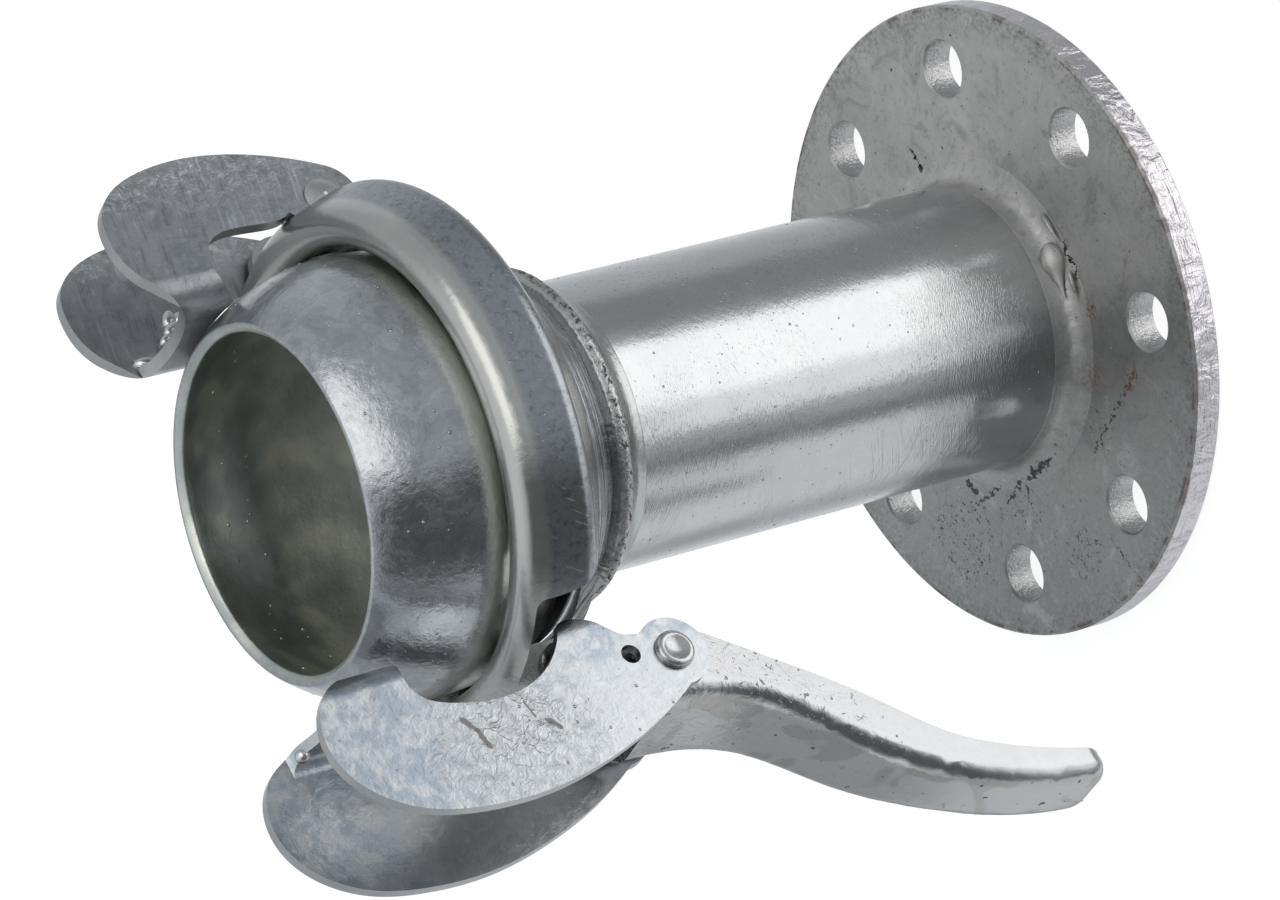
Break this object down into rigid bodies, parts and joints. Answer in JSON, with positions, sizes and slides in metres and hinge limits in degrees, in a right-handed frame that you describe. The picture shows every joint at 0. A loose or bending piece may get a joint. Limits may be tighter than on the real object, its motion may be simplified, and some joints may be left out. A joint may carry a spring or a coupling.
{
  "type": "flange coupling",
  "caption": "Ball half of a lever-ring pipe coupling on a flanged pipe stub; a thrown lever draws its hooks back over the socket's collar.",
  "frame": {"origin": "centre of the flange's mating face, on the pipe's axis", "axes": "+Z along the pipe towards the ball, +X towards the lever, +Y across the hooks"},
  "size_m": [0.2629, 0.2, 0.3074],
  "materials": {
    "flange_steel": "hot-dip galvanised, dull, with rust marks",
    "pipe_steel": "hot-dip galvanised, half bright",
    "weld_metal": "weld bead under zinc",
    "ball_steel": "hot-dip galvanised, smooth",
    "ring_steel": "hot-dip galvanised, smooth",
    "pin_steel": "zinc over a riveted end",
    "catch_hook_steel": "hot-dip galvanised, spangled",
    "lever_steel": "hot-dip galvanised, half bright",
    "lever_hook_steel": "hot-dip galvanised, rough"
  },
  "bodies": {
    "coupling_body": {"flange": "flange_steel", "pipe": "pipe_steel", "flange_weld": "weld_metal", "bore_weld": "weld_metal", "neck_weld": "weld_metal", "ball_end": "ball_steel"},
    "ring": {"locking_ring": "ring_steel", "lever_pin": "pin_steel", "catch_hook_pin": "pin_steel"},
    "catch": {"catch_hook": "catch_hook_steel"},
    "throw_lever": {"lever": "lever_steel"},
    "hook_pin": {"lever_hook_pin": "pin_steel"},
    "hook": {"lever_hook": "lever_hook_steel"}
  },
  "joints": [
    {"name": "ring_turn", "type": "hinge", "parent": "coupling_body", "child": "ring", "pos_m": [0, 0, 0.2205], "axis": [0, 0, 1], "continuous": true},
    {"name": "catch_hook_swing", "type": "hinge", "parent": "ring", "child": "catch", "pos_m": [-0.08195, 0, 0.2205], "axis": [0, -1, 0], "range_deg": [0, 95]},
    {"name": "lever_throw", "type": "hinge", "parent": "ring", "child": "throw_lever", "pos_m": [0.08195, 0, 0.2205], "axis": [0, -1, 0], "range_deg": [0, 110]},
    {"name": "hook_pin_turn", "type": "hinge", "parent": "throw_lever", "child": "hook_pin", "pos_m": [0.08835, 0, 0.1908], "axis": [0, 1, 0], "range_deg": [0, 110]},
    {"name": "lever_hook_swing", "type": "hinge", "parent": "hook_pin", "child": "hook", "pos_m": [0.08835, 0, 0.1908], "axis": [0, 1, 0], "range_deg": [0, 40]}
  ],
  "couplings": [
    {"joint": "hook_pin_turn", "follows": "lever_throw", "ratio": 1}
  ]
}
